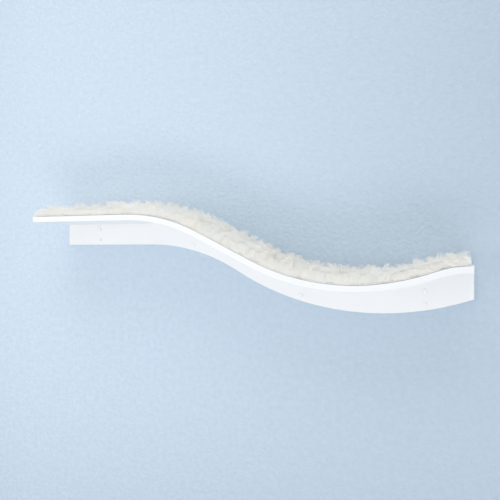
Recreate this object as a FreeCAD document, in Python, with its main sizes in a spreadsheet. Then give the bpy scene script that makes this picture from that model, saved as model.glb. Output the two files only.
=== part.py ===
import FreeCAD, Part
import Sketcher
import math
import os
import re

# Cat wall shelf: an S-curved board on an S-shaped wall panel, with a lift-off fur pad and capped wall screws.
# Millimetres and degrees. X runs along the wall to the right, Y points into the wall and Z is up.
# The origin is at mid-length on the wall plane, on the panel's back face.

SIZES = {
    # Board, one thickness all along its run
    "board_length": 1320.8,
    "board_depth": 200.0,
    "board_thickness": 18.0,
    "board_edge_chamfer": 1.5,
    # Run of the board's top: level, crest, straight slope, trough, easing up to a level tail
    "level_height": 147.5,
    "crest_radius": 530.0,
    "slope_angle": 26.25,
    "slope_run": 180.0,
    "trough_radius": 620.0,
    "tail_angle": 20.5,
    "ease_radius": 215.0,
    "tail_run": 10.0,
    # Wall panel: its lower edge starts down before the board does and is lowest a little further right
    "panel_thickness": 18.0,
    "panel_height": 70.0,
    "panel_trough_radius": 810.0,
    "panel_end_radius": 790.0,
    "panel_crest_lead": 15.0,
    "panel_low_shift": 34.0,
    "panel_edge_chamfer": 1.2,
    "glue_line": 0.2,
    # Wall screws, in columns of two: a wide head, a shank through the panel and a wider thread in the wall
    "screw_columns": 4,
    "screw_end_margin": 127.0,
    "screw_edge_margin": 16.75,
    "wall_screw_thread": 5.0,
    "wall_screw_shank": 4.0,
    "wall_screw_head": 11.0,
    "wall_screw_head_height": 2.4,
    "wall_screw_embed": 45.0,
    "screw_hole_gap": 0.25,
    # Caps that snap onto the wall screws' heads
    "cap_wall": 1.0,
    "cap_fit": 0.1,
    "cap_rim_gap": 0.3,
    "cap_head_room": 0.3,
    # Countersunk screws from the board's top into the panel
    "board_screw_diameter": 4.0,
    "board_screw_head": 8.0,
    "board_screw_length": 50.0,
    "board_screw_sink": 0.5,
    "board_screw_gap": 0.15,
    # Hook strips on the board and loop strips on the pad
    "strip_count": 5,
    "strip_width": 25.0,
    "strip_inset": 22.0,
    "strip_end_margin": 70.0,
    "strip_thickness": 1.2,
    "glued_gap": 0.3,
    "lift_gap": 0.3,
    # Fur pad: its backing, and the pile's crowned section, drawn in at its foot and rounded at its ends
    "backing_thickness": 1.6,
    "pad_inset": 4.0,
    "pad_left_gap": 3.0,
    "pad_right_gap": 10.0,
    "pile_gap": 0.3,
    "pile_side_height": 20.0,
    "pile_crown": 8.0,
    "pile_bulge": 2.6,
    "pile_draw_in": 3.0,
    "pile_shoulder": 9.0,
    "pile_end_round": 20.0,
    "pile_end_height": 10.0,
    "pile_corner": 10.0,
}

# What follows from the driving sizes
LEVEL_RUN = (
    "(board_length - tail_run - (crest_radius + trough_radius) * sin(slope_angle)"
    " - slope_run * cos(slope_angle) - (trough_radius + ease_radius) * sin(tail_angle))"
)
DROP = "((crest_radius + trough_radius) * (1 - cos(slope_angle)) + slope_run * sin(slope_angle))"
PANEL_LEVEL_RUN = f"({LEVEL_RUN} - panel_crest_lead)"
BOARD_LOW_X = "(board_length / 2 - tail_run - (trough_radius + ease_radius) * sin(tail_angle))"
PANEL_LOW_X = f"({BOARD_LOW_X} + panel_low_shift)"
PANEL_FOOT = "(level_height - board_thickness - glue_line - panel_height)"
HOOK_TOP = "(glued_gap + strip_thickness)"
LOOP_FOOT = f"({HOOK_TOP} + lift_gap)"
LOOP_TOP = f"({LOOP_FOOT} + strip_thickness)"
BACKING_FOOT = f"({LOOP_TOP} + glued_gap)"
BACKING_TOP = f"({BACKING_FOOT} + backing_thickness)"
PILE_FOOT = f"({BACKING_TOP} + pile_gap)"
BOARD_SCREW = "(board_screw_diameter / 2)"
BOARD_HEAD = "(board_screw_head / 2)"
BOARD_CONE = f"({BOARD_HEAD} - {BOARD_SCREW})"
WALL_THREAD = "(wall_screw_thread / 2)"
WALL_SHANK = "(wall_screw_shank / 2)"
WALL_HEAD = "(wall_screw_head / 2)"
HEAD_FACE = "(-panel_thickness - wall_screw_head_height)"
CAP_INSIDE = f"({WALL_HEAD} + cap_fit)"
CAP_RADIUS = f"({CAP_INSIDE} + cap_wall)"
CAP_RIM = "(-panel_thickness - cap_rim_gap)"
CAP_CEILING = f"({HEAD_FACE} - cap_head_room)"
CAP_TOP = f"({CAP_CEILING} - cap_wall)"

ROWS = 2
END_STEPS = (0.0, 0.3, 1.0)
TOLERANCE = 1e-4
ACROSS = FreeCAD.Vector(0, 1, 0)
OUT_OF_SKETCH = FreeCAD.Vector(0, 0, 1)

doc = FreeCAD.newDocument("cat_wall_shelf")
sheet = doc.addObject("Spreadsheet::Sheet", "Sizes")
for row, (alias, number) in enumerate(SIZES.items(), start=1):
    sheet.set(f"A{row}", alias)
    sheet.set(f"B{row}", str(number))
    sheet.setAlias(f"B{row}", alias)
doc.recompute()


def sized(expression):
    """The expression with each size named as a cell of the sheet."""
    return re.sub("[a-z_]+", lambda word: f"Sizes.{word[0]}" if word[0] in SIZES else word[0], expression)


def value(expression):
    """What an expression comes to with the sheet's sizes."""
    return float(sheet.evalExpression(sized(expression)))


def bind(thing, prop, expression):
    """Makes a property follow the sheet."""
    thing.setExpression(prop, sized(expression))


def point_on(stretch, distance):
    """Point and heading at a distance along one stretch of a run line."""
    first, bend = stretch["heading"], stretch["bend"]
    heading = first + bend * distance
    if bend:
        along = (math.sin(heading) - math.sin(first)) / bend
        up = (math.cos(first) - math.cos(heading)) / bend
    else:
        along = distance * math.cos(first)
        up = distance * math.sin(first)
    return stretch["x"] + along, stretch["z"] + up, heading


class RunLine:
    """A line of straight and round stretches that run on smoothly in the XZ plane, from left to right."""

    def __init__(self, x, z, heading=0.0):
        self.stretches = []
        self.x, self.z, self.heading = x, z, heading

    def add(self, length, bend):
        """Adds a stretch of that length; bend is its curvature, upwards positive."""
        stretch = {"x": self.x, "z": self.z, "heading": self.heading, "length": length, "bend": bend}
        self.stretches.append(stretch)
        self.x, self.z, self.heading = point_on(stretch, length)

    def straight(self, length):
        """Adds a straight stretch."""
        self.add(length, 0.0)

    def curve(self, radius, turn):
        """Adds an arc; turn is in degrees, upwards positive."""
        self.add(radius * math.radians(abs(turn)), math.copysign(1 / radius, turn))

    def length(self):
        """Length along the line."""
        return sum(stretch["length"] for stretch in self.stretches)

    def at(self, distance):
        """Point and heading at a distance along the line."""
        for stretch in self.stretches:
            if distance <= stretch["length"]:
                return point_on(stretch, distance)
            distance -= stretch["length"]
        return self.x, self.z, self.heading

    def between(self, first, last):
        """The part of the line between two distances along it."""
        part = RunLine(*self.at(first))
        passed = 0.0
        for stretch in self.stretches:
            length = min(last, passed + stretch["length"]) - max(first, passed)
            if length > TOLERANCE:
                part.add(length, stretch["bend"])
            passed += stretch["length"]
        return part

    def over(self, x):
        """Point and heading at a place on the X axis."""
        for stretch in self.stretches:
            if x <= point_on(stretch, stretch["length"])[0]:
                break
        if stretch["bend"]:
            heading = math.asin(math.sin(stretch["heading"]) + stretch["bend"] * (x - stretch["x"]))
            return point_on(stretch, (heading - stretch["heading"]) / stretch["bend"])
        return point_on(stretch, (x - stretch["x"]) / math.cos(stretch["heading"]))


def board_run(lift):
    """The board's run, moved off its top by lift."""
    rise = value(lift)
    slope, tail = value("slope_angle"), value("tail_angle")
    line = RunLine(value("-board_length / 2"), value("level_height") + rise)
    line.straight(value(LEVEL_RUN))
    line.curve(value("crest_radius") + rise, -slope)
    line.straight(value("slope_run"))
    line.curve(value("trough_radius") - rise, slope + tail)
    line.curve(value("ease_radius") + rise, -tail)
    line.straight(value("tail_run"))
    return line


def panel_foot():
    """The panel's lower edge: level, two arcs down to its lowest point, then an arc up to the right end."""
    across = value(f"{PANEL_LOW_X} + board_length / 2 - {PANEL_LEVEL_RUN}")
    turn = 2 * math.degrees(math.atan2(value(DROP), across))
    crest_radius = across / math.sin(math.radians(turn)) - value("panel_trough_radius")
    end_turn = math.degrees(math.asin(value(f"(board_length / 2 - {PANEL_LOW_X}) / panel_end_radius")))
    line = RunLine(value("-board_length / 2"), value(PANEL_FOOT))
    line.straight(value(PANEL_LEVEL_RUN))
    line.curve(crest_radius, -turn)
    line.curve(value("panel_trough_radius"), turn)
    line.curve(value("panel_end_radius"), end_turn)
    return line


def new_sketch(body, name, role):
    """A sketch on one of the body's own origin planes."""
    sketch = body.newObject("Sketcher::SketchObject", name)
    plane = next(feature for feature in body.Origin.OriginFeatures if feature.Role == role)
    sketch.AttachmentSupport = [(plane, "")]
    sketch.MapMode = "FlatFace"
    return sketch


def dimension(sketch, kind, where, expression):
    """Adds a dimension that follows the sheet; where names the edges and ends that it measures."""
    number = value(expression)
    if kind == "Angle":
        number = math.radians(number)
    index = sketch.addConstraint(Sketcher.Constraint(kind, *where, number))
    sketch.renameConstraint(index, f"size_{index}")
    bind(sketch, f"Constraints.size_{index}", expression)


def fix_point(sketch, edge, end, across, up):
    """Places one end of an edge; a coordinate of 0 puts it on the sketch's axis."""
    for kind, axis, expression in (("DistanceX", -2, across), ("DistanceY", -1, up)):
        if expression == "0":
            sketch.addConstraint(Sketcher.Constraint("PointOnObject", edge, end, axis))
        else:
            dimension(sketch, kind, (edge, end), expression)


def geometry_of(stretch):
    """A line or an arc for one stretch of a run line, in the sketch's own plane."""
    x, z, first = stretch["x"], stretch["z"], stretch["heading"]
    last_x, last_z, last = point_on(stretch, stretch["length"])
    if not stretch["bend"]:
        return Part.LineSegment(FreeCAD.Vector(x, z, 0), FreeCAD.Vector(last_x, last_z, 0))
    radius = 1 / stretch["bend"]
    centre = FreeCAD.Vector(x - radius * math.sin(first), z + radius * math.cos(first), 0)
    side = -math.copysign(math.pi / 2, radius)
    angles = sorted((first + side, last + side))
    return Part.ArcOfCircle(Part.Circle(centre, OUT_OF_SKETCH, abs(radius)), *angles)


def draw_line(sketch, line):
    """Draws a run line with its stretches tangent; returns each edge with its first and last end."""
    edges = []
    for stretch in line.stretches:
        ends = (2, 1) if stretch["bend"] < 0 else (1, 2)
        edges.append((sketch.addGeometry(geometry_of(stretch)), *ends))
    for (edge, _, end), (next_edge, next_end, _) in zip(edges, edges[1:]):
        sketch.addConstraint(Sketcher.Constraint("Tangent", edge, end, next_edge, next_end))
    return edges


def draw_board_run(sketch, lift):
    """Draws the board's run, moved off its top by lift, with its dimensions."""
    edges = draw_line(sketch, board_run(lift))
    level, crest, slope, trough, ease, tail = (edge for edge, _, _ in edges)
    for edge in (level, tail):
        sketch.addConstraint(Sketcher.Constraint("Horizontal", edge))
    fix_point(sketch, level, 1, "-board_length / 2", f"level_height + {lift}")
    dimension(sketch, "DistanceX", (tail, 2), "board_length / 2")
    dimension(sketch, "Radius", (crest,), f"crest_radius + {lift}")
    dimension(sketch, "Angle", (slope,), "-slope_angle")
    dimension(sketch, "Distance", (slope,), "slope_run")
    dimension(sketch, "Radius", (trough,), f"trough_radius - {lift}")
    dimension(sketch, "Angle", (ease,), "tail_angle")
    dimension(sketch, "Radius", (ease,), f"ease_radius + {lift}")
    dimension(sketch, "Distance", (tail,), "tail_run")
    return edges


def draw_panel_foot(sketch):
    """Draws the panel's lower edge with its dimensions."""
    edges = draw_line(sketch, panel_foot())
    level, _, trough, end = (edge for edge, _, _ in edges)
    sketch.addConstraint(Sketcher.Constraint("Horizontal", level))
    fix_point(sketch, level, 1, "-board_length / 2", PANEL_FOOT)
    dimension(sketch, "Distance", (level,), PANEL_LEVEL_RUN)
    dimension(sketch, "Radius", (trough,), "panel_trough_radius")
    fix_point(sketch, trough, 2, PANEL_LOW_X, f"{PANEL_FOOT} - {DROP}")
    sketch.addConstraint(Sketcher.Constraint("Vertical", trough, 3, trough, 2))
    dimension(sketch, "Radius", (end,), "panel_end_radius")
    dimension(sketch, "DistanceX", (end, 2), "board_length / 2")
    return edges


def close_ends(sketch, lower, upper):
    """Joins the ends of two run lines with straight edges."""
    for edge, end, other, other_end in (
        (lower[0][0], lower[0][1], upper[0][0], upper[0][1]),
        (lower[-1][0], lower[-1][2], upper[-1][0], upper[-1][2]),
    ):
        points = (sketch.getPoint(edge, end), sketch.getPoint(other, other_end))
        line = sketch.addGeometry(Part.LineSegment(*points))
        sketch.addConstraint(Sketcher.Constraint("Coincident", line, 1, edge, end))
        sketch.addConstraint(Sketcher.Constraint("Coincident", line, 2, other, other_end))


def draw_outline(sketch, corners, arcs=()):
    """Draws a closed outline through corners given as expressions; arcs gives the radius of round edges."""
    points = [FreeCAD.Vector(value(across), value(up), 0) for across, up in corners]
    edges = []
    for index, point in enumerate(points):
        following = points[(index + 1) % len(points)]
        if index in arcs:
            chord = following - point
            inward = FreeCAD.Vector(-chord.y, chord.x, 0).normalize()
            radius = value(arcs[index])
            centre = (point + following) * 0.5 + inward * math.sqrt(radius**2 - chord.Length**2 / 4)
            angles = [math.atan2(end.y - centre.y, end.x - centre.x) for end in (point, following)]
            shape = Part.ArcOfCircle(Part.Circle(centre, OUT_OF_SKETCH, radius), *angles)
        else:
            shape = Part.LineSegment(point, following)
        edges.append(sketch.addGeometry(shape))
    for index, edge in enumerate(edges):
        following = edges[(index + 1) % len(edges)]
        sketch.addConstraint(Sketcher.Constraint("Coincident", edge, 2, following, 1))
        fix_point(sketch, edge, 1, *corners[index])
        if index in arcs:
            dimension(sketch, "Radius", (edge,), arcs[index])


def pad_out(body, sketch, length):
    """Pads a sketch on the XZ plane away from the wall."""
    feature = body.newObject("PartDesign::Pad", f"{sketch.Name}_pad")
    feature.Profile = sketch
    bind(feature, "Length", length)
    doc.recompute()


def ease_edges(body, edges, size):
    """Chamfers the numbered edges of a body."""
    base = body.Tip
    chamfer = body.newObject("PartDesign::Chamfer", f"{body.Name}_eased")
    chamfer.Base = (base, [f"Edge{number}" for number in edges])
    bind(chamfer, "Size", size)
    doc.recompute()


def edges_at(body, y):
    """Numbers and edges of a body that lie wholly at one place on the Y axis."""
    found = []
    for number, edge in enumerate(body.Shape.Edges, start=1):
        if max(abs(edge.BoundBox.YMin - y), abs(edge.BoundBox.YMax - y)) < TOLERANCE:
            found.append((number, edge))
    return found


def is_on(edge, line):
    """Whether the middle of an edge lies on a run line."""
    middle = edge.valueAt((edge.FirstParameter + edge.LastParameter) / 2)
    return abs(middle.z - line.over(middle.x)[1]) < TOLERANCE


def run_band(name, foot, top, inset):
    """A sheet that follows the board's run between two lifts, drawn in by inset at its front and its back."""
    body = doc.addObject("PartDesign::Body", name)
    sketch = new_sketch(body, f"{name}_profile", "XZ_Plane")
    close_ends(sketch, draw_board_run(sketch, foot), draw_board_run(sketch, top))
    bind(sketch, "AttachmentOffset.Base.z", inset)
    pad_out(body, sketch, f"board_depth - 2 * {inset}")
    return body


def cut_to_length(name, band, start, length):
    """The stretch of a band that begins at start on the X axis."""
    box = doc.addObject("Part::Box", f"{name}_stretch")
    bind(box, "Length", length)
    bind(box, "Width", "board_depth")
    bind(box, "Height", "board_length")
    bind(box, "Placement.Base.x", start)
    bind(box, "Placement.Base.y", "-board_depth")
    bind(box, "Placement.Base.z", "-board_length / 2")
    piece = doc.addObject("Part::Common", name)
    piece.Base = band
    piece.Tool = box
    return piece


def turned(name, role, corners):
    """A body turned about the upright axis of its sketch plane."""
    body = doc.addObject("PartDesign::Body", name)
    sketch = new_sketch(body, f"{name}_profile", role)
    draw_outline(sketch, corners)
    feature = body.newObject("PartDesign::Revolution", f"{name}_turned")
    feature.Profile = sketch
    feature.ReferenceAxis = (sketch, ["V_Axis"])
    feature.Angle = 360
    doc.recompute()
    return body


def group(name, source, places):
    """Copies of one piece at several places, as one object."""
    links = []
    for number, place in enumerate(places, start=1):
        link = doc.addObject("App::Link", f"{name}_place_{number}")
        link.LinkedObject = source
        link.Placement = place.multiply(source.Placement)
        links.append(link)
    whole = doc.addObject("Part::Compound", name)
    whole.Links = links
    return whole


def cut(name, base, tools):
    """A piece with holes for the pieces that go through it."""
    result = doc.addObject("Part::Cut", name)
    result.Base = base
    result.Tool = tools
    return result


def spread(count, margin):
    """Expressions for places along the board, evenly spread between two end margins."""
    step = f"(board_length - 2 * {margin}) / ({count} - 1)"
    return [f"(-board_length / 2 + {margin} + {number} * {step})" for number in range(int(value(count)))]


def square_to_board(x):
    """Placement on the board's top over the panel's middle, with Z square to the board there."""
    x, z, heading = board_run("0").over(x)
    turn = FreeCAD.Rotation(ACROSS, -math.degrees(heading))
    return FreeCAD.Placement(FreeCAD.Vector(x, value("-panel_thickness / 2"), z), turn)


def wall_screw_places(columns):
    """Placements of the wall screws on the wall plane, lower row first."""
    foot = panel_foot()
    places = []
    for row in range(ROWS):
        for column in columns:
            x, edge, _ = foot.over(value(column))
            z = edge + value(f"screw_edge_margin + {row} * (panel_height - 2 * screw_edge_margin)")
            places.append(FreeCAD.Placement(FreeCAD.Vector(x, 0, z), FreeCAD.Rotation()))
    return places


def board_screw_places(columns):
    """Placements of the board screws, midway between the columns of wall screws and outside the end ones."""
    outer = value("(board_length - screw_end_margin) / 2")
    places = [square_to_board(-outer)]
    for left, right in zip(columns, columns[1:]):
        places.append(square_to_board(value(f"({left} + {right}) / 2")))
    places.append(square_to_board(outer))
    return places


def make_board_screws(places):
    """Screws that hold the board on the panel, and the tools that cut their holes."""
    screw = turned(
        "board_screw",
        "XZ_Plane",
        [
            ("0", "-board_screw_length"),
            (BOARD_SCREW, "-board_screw_length"),
            (BOARD_SCREW, f"-board_screw_sink - {BOARD_CONE}"),
            (BOARD_HEAD, "-board_screw_sink"),
            ("0", "-board_screw_sink"),
        ],
    )
    hole = turned(
        "board_screw_hole",
        "XZ_Plane",
        [
            ("0", "-board_screw_length - board_screw_gap"),
            (f"{BOARD_SCREW} + board_screw_gap", "-board_screw_length - board_screw_gap"),
            (f"{BOARD_SCREW} + board_screw_gap", f"-board_screw_sink - {BOARD_CONE}"),
            (f"{BOARD_HEAD} + board_screw_gap", "-board_screw_sink"),
            (f"{BOARD_HEAD} + board_screw_gap", "board_screw_sink"),
            ("0", "board_screw_sink"),
        ],
    )
    return group("board_screws", screw, places), group("board_screw_holes", hole, places)


def make_board(holes):
    """The S-curved board, eased along its front."""
    body = doc.addObject("PartDesign::Body", "board_blank")
    sketch = new_sketch(body, "board_profile", "XZ_Plane")
    close_ends(sketch, draw_board_run(sketch, "(-board_thickness)"), draw_board_run(sketch, "0"))
    pad_out(body, sketch, "board_depth")
    front = [number for number, _ in edges_at(body, value("-board_depth"))]
    ease_edges(body, front, "board_edge_chamfer")
    return cut("shelf_board", body, holes)


def make_panel(holes, columns, places):
    """The wall panel, whose top follows the board's underside, with its screw holes."""
    body = doc.addObject("PartDesign::Body", "panel_blank")
    top = "(-board_thickness - glue_line)"
    sketch = new_sketch(body, "panel_profile", "XZ_Plane")
    close_ends(sketch, draw_panel_foot(sketch), draw_board_run(sketch, top))
    pad_out(body, sketch, "panel_thickness")
    under_board = board_run(top)
    front = edges_at(body, value("-panel_thickness"))
    ease_edges(body, [number for number, edge in front if not is_on(edge, under_board)], "panel_edge_chamfer")
    uncut = body.Shape.Volume
    drilling = new_sketch(body, "wall_screw_holes", "XZ_Plane")
    radius = f"{WALL_THREAD} + screw_hole_gap"
    for column, place in zip(columns * ROWS, places):
        centre = FreeCAD.Vector(place.Base.x, place.Base.z, 0)
        circle = drilling.addGeometry(Part.Circle(centre, OUT_OF_SKETCH, value(radius)))
        dimension(drilling, "Radius", (circle,), radius)
        dimension(drilling, "DistanceX", (circle, 3), column)
        drilling.addConstraint(Sketcher.Constraint("DistanceY", circle, 3, place.Base.z))
    pocket = body.newObject("PartDesign::Pocket", "wall_screw_pocket")
    pocket.Profile = drilling
    pocket.Type = "ThroughAll"
    pocket.Midplane = True
    doc.recompute()
    if body.Shape.Volume >= uncut:
        raise RuntimeError("the wall screw holes cut nothing")
    return cut("wall_panel", body, holes)


def make_wall_hardware(places):
    """Wall screws, and a cap on the head of each."""
    screw = turned(
        "wall_screw",
        "XY_Plane",
        [
            ("0", HEAD_FACE),
            (WALL_HEAD, HEAD_FACE),
            (WALL_HEAD, "-panel_thickness"),
            (WALL_SHANK, "-panel_thickness"),
            (WALL_SHANK, "0"),
            (WALL_THREAD, "0"),
            (WALL_THREAD, "wall_screw_embed"),
            ("0", "wall_screw_embed"),
        ],
    )
    cap = turned(
        "cap",
        "XY_Plane",
        [
            ("0", CAP_TOP),
            (CAP_RADIUS, CAP_TOP),
            (CAP_RADIUS, CAP_RIM),
            (CAP_INSIDE, CAP_RIM),
            (CAP_INSIDE, CAP_CEILING),
            ("0", CAP_CEILING),
        ],
    )
    pieces = [group("wall_screws", screw, places)]
    for number, place in enumerate(places, start=1):
        pieces.append(group(f"screw_cap_{number}", cap, [place]))
    return pieces


def make_strips():
    """Hook strips on the board and loop strips on the pad, cut from two sheets that follow the run."""
    hook_sheet = run_band("hook_sheet", "glued_gap", HOOK_TOP, "strip_inset")
    loop_sheet = run_band("loop_sheet", LOOP_FOOT, LOOP_TOP, "strip_inset")
    pieces = []
    for number, centre in enumerate(spread("strip_count", "strip_end_margin"), start=1):
        start = f"{centre} - strip_width / 2"
        pieces.append(cut_to_length(f"hook_strip_{number}", hook_sheet, start, "strip_width"))
        pieces.append(cut_to_length(f"loop_strip_{number}", loop_sheet, start, "strip_width"))
    return pieces


def pile_section(name, place, fullness):
    """One crowned section of the pile; fullness is below 1 near the pad's ends."""
    sketch = doc.addObject("Sketcher::SketchObject", name)
    half = f"(board_depth / 2 - pad_inset - pile_corner * {1 - fullness:.6f})"
    foot_half = f"({half} - pile_draw_in)"
    top_half = f"({half} - pile_shoulder)"
    full_sizes = ("pile_side_height", "pile_crown", "pile_bulge")
    side, crown, bulge = (f"({size} * {fullness:.6f})" for size in full_sizes)
    side_chord = f"({side}^2 + (pile_shoulder - pile_draw_in)^2)"
    side_radius = f"({side_chord} / 4 + {bulge}^2) / (2 * {bulge})"
    crown_radius = f"({top_half}^2 + {crown}^2) / (2 * {crown})"
    draw_outline(
        sketch,
        [(f"-{foot_half}", "0"), (foot_half, "0"), (top_half, side), (f"-{top_half}", side)],
        {1: side_radius, 2: crown_radius, 3: side_radius},
    )
    sketch.Placement = place
    return sketch


def section_place(line, distance):
    """Placement of a pile section, square to a run line at a distance along it."""
    x, z, heading = line.at(distance)
    normal = FreeCAD.Vector(-math.sin(heading), 0, math.cos(heading))
    turn = FreeCAD.Rotation(ACROSS, normal, ACROSS.cross(normal), "XYZ")
    return FreeCAD.Placement(FreeCAD.Vector(x, value("-board_depth / 2"), z), turn)


def pile_end(name, line, end, inward):
    """A rounded end of the pile, lofted up to the full section; inward is 1 or -1 along the line."""
    least = value("pile_end_height / pile_side_height")
    loft = doc.addObject("Part::Loft", name)
    sections = []
    for number, step in enumerate(END_STEPS, start=1):
        fullness = least + (1 - least) * math.sqrt(1 - (1 - step) ** 2)
        place = section_place(line, end + inward * step * value("pile_end_round"))
        sections.append(pile_section(f"{name}_section_{number}", place, fullness))
    loft.Sections = sections
    loft.Solid = True
    return loft


def make_pad():
    """The pad's backing, and the pile: a crowned section swept along the run between two rounded ends."""
    sheet_band = run_band("backing_sheet", BACKING_FOOT, BACKING_TOP, "pad_inset")
    length = "board_length - pad_left_gap - pad_right_gap"
    backing = cut_to_length("pad_backing", sheet_band, "-board_length / 2 + pad_left_gap", length)
    line = board_run(PILE_FOOT)
    first, last = value("pad_left_gap"), line.length() - value("pad_right_gap")
    ends = [pile_end("pile_left_end", line, first, 1), pile_end("pile_right_end", line, last, -1)]
    middle = line.between(first + value("pile_end_round"), last - value("pile_end_round"))
    spine = doc.addObject("Part::Feature", "pile_spine")
    spine.Shape = Part.Wire([geometry_of(stretch).toShape() for stretch in middle.stretches])
    upright = FreeCAD.Rotation(FreeCAD.Vector(1, 0, 0), 90)
    spine.Placement = FreeCAD.Placement(FreeCAD.Vector(0, value("-board_depth / 2"), 0), upright)
    sweep = doc.addObject("Part::Sweep", "pile_middle")
    sweep.Sections = [pile_section("pile_middle_section", section_place(middle, 0.0), 1.0)]
    sweep.Spine = (spine, [f"Edge{number}" for number in range(1, len(middle.stretches) + 1)])
    sweep.Solid = True
    pile = doc.addObject("Part::MultiFuse", "fur_pile")
    pile.Shapes = [sweep, *ends]
    return [backing, pile]


columns = spread("screw_columns", "screw_end_margin")
screw_places = wall_screw_places(columns)
board_screws, board_screw_holes = make_board_screws(board_screw_places(columns))
nodes = [make_board(board_screw_holes), make_panel(board_screw_holes, columns, screw_places), board_screws]
nodes += make_wall_hardware(screw_places) + make_strips() + make_pad()
doc.recompute()

for thing in doc.Objects:
    if {"Invalid", "Error"} & set(thing.State):
        raise RuntimeError(f"{thing.Name} failed: {thing.State}")
for node in nodes:
    node.Label = node.Name
    if node.Shape.isNull() or not node.Shape.isValid() or not node.Shape.Solids:
        raise RuntimeError(f"{node.Label} has no valid solid")

os.makedirs("parts", exist_ok=True)
for node in nodes:
    node.Shape.exportStep(f"parts/{node.Label}.step")
    print(f"{node.Label}: {len(node.Shape.Solids)} solids, {node.Shape.Volume:.1f} mm3")
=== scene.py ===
"""Scene of a wall shelf for cats: an S-bent board on its wall panel, capped screws and a lift-off fur pad."""
import logging
import math
from dataclasses import dataclass
from enum import Enum
from typing import Any

import bmesh
import bpy
import numpy as np
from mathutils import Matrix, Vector

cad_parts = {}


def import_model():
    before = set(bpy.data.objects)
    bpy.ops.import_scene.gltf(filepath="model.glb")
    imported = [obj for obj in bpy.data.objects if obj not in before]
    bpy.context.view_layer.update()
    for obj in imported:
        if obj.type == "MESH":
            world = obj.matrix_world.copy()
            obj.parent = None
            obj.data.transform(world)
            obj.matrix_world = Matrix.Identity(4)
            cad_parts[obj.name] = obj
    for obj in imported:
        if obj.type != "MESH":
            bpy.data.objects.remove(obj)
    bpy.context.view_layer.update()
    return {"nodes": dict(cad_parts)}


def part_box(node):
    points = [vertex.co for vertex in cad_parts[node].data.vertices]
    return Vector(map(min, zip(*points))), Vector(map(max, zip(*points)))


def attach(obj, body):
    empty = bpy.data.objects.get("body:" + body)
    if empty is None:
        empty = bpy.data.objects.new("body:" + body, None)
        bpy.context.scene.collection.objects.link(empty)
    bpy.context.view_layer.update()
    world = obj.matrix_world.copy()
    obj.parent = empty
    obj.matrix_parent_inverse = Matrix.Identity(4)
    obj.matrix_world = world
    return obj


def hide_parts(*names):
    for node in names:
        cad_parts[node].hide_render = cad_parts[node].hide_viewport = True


LOG = logging.getLogger("shelf_scene")
FRAME_PIXELS = 500
BAKE_MAP = "OFBake"
CAPS = range(1, 9)
TAPES = range(1, 6)
Array = np.ndarray
Pair = tuple[float, float]
Point = tuple[float, float, float]
Colour = tuple[float, float, float, float]
Piece = bpy.types.Object
Material = bpy.types.Material
Socket = bpy.types.NodeSocket
Group = bpy.types.NodeTree
Random = np.random.Generator
WHITE: Colour = (1.0, 1.0, 1.0, 1.0)


class Slot(Enum):
    """Material slots of the record."""

    STEEL = "screw_steel"
    CAP = "cap_plastic"
    HOOK = "hook_tape"
    LOOP = "loop_tape"
    BACKING = "backing_cloth"
    FUR = "fur"


class Body(Enum):
    """Bodies that pieces ride on, apart from the caps, which each have their own."""

    SHELF = "shelf"
    PAD = "pad"


class Nap(Enum):
    """The two faces of the touch tape."""

    HOOKS = "hook"
    LOOPS = "loop"


class Skin(Enum):
    """How a hard surface was made, which gives it its fine relief."""

    SPRAYED = "sprayed"
    MOULDED = "moulded"
    TURNED = "turned"


class Nodes:
    """Adds nodes to a node tree and links them."""

    def __init__(self, tree: Group) -> None:
        """Keeps the tree that the nodes go into."""
        self.tree = tree

    def add(self, kind: str, inputs: dict[Any, Any] | None = None, **settings: Any) -> bpy.types.Node:
        """Adds a node.

        Args:
            kind: The node's type, without its ShaderNode prefix.
            inputs: Values, or output sockets to link, by the input's name or number.
            settings: Properties of the node.

        Returns:
            The new node.
        """
        node = self.tree.nodes.new(f"ShaderNode{kind}")
        for name, setting in settings.items():
            setattr(node, name, setting)
        for key, given in (inputs or {}).items():
            if isinstance(given, Socket):
                self.tree.links.new(given, node.inputs[key])
            else:
                node.inputs[key].default_value = given
        return node

    def group(self, tree: Group, inputs: dict[str, Any]) -> bpy.types.NodeOutputs:
        """Places a shader group with its inputs, and gives its outputs."""
        return self.add("Group", inputs, node_tree=tree).outputs

    def place(self) -> Socket:
        """Point of the surface in metres, in the shelf's own frame."""
        return self.add("TexCoord").outputs["Object"]

    def parts(self, vector: Socket) -> bpy.types.NodeOutputs:
        """The X, Y and Z of a vector."""
        return self.add("SeparateXYZ", {0: vector}).outputs

    def maths(self, operation: str, first: Any, second: Any = 0.0) -> Socket:
        """Result of a sum on two values or sockets."""
        return self.add("Math", {0: first, 1: second}, operation=operation).outputs[0]

    def plus(self, first: Any, second: Any, share: float) -> Socket:
        """A value with a share of a second one added."""
        return self.add("Math", {0: second, 1: share, 2: first}, operation="MULTIPLY_ADD").outputs[0]

    def noise(self, scale: Any, detail: float, vector: Socket | None = None) -> Socket:
        """Soft noise from 0 to 1, in cells per metre and octaves, at a vector or the surface's own place."""
        given = {"Vector": vector or self.place(), "Scale": scale, "Detail": detail}
        return self.add("TexNoise", given).outputs["Fac"]

    def spread(self, value: Any, low: float, high: float, least: float = 0.0, most: float = 1.0) -> Socket:
        """Maps a value from one range to another, held at both ends."""
        inputs = {"Value": value, 1: low, 2: high, 3: least, 4: most}
        return self.add("MapRange", inputs, clamp=True).outputs["Result"]

    def blend(self, factor: Any, first: Any, second: Any) -> Socket:
        """Mixes two colours."""
        return self.add("Mix", {0: factor, 6: first, 7: second}, data_type="RGBA").outputs[2]


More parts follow.
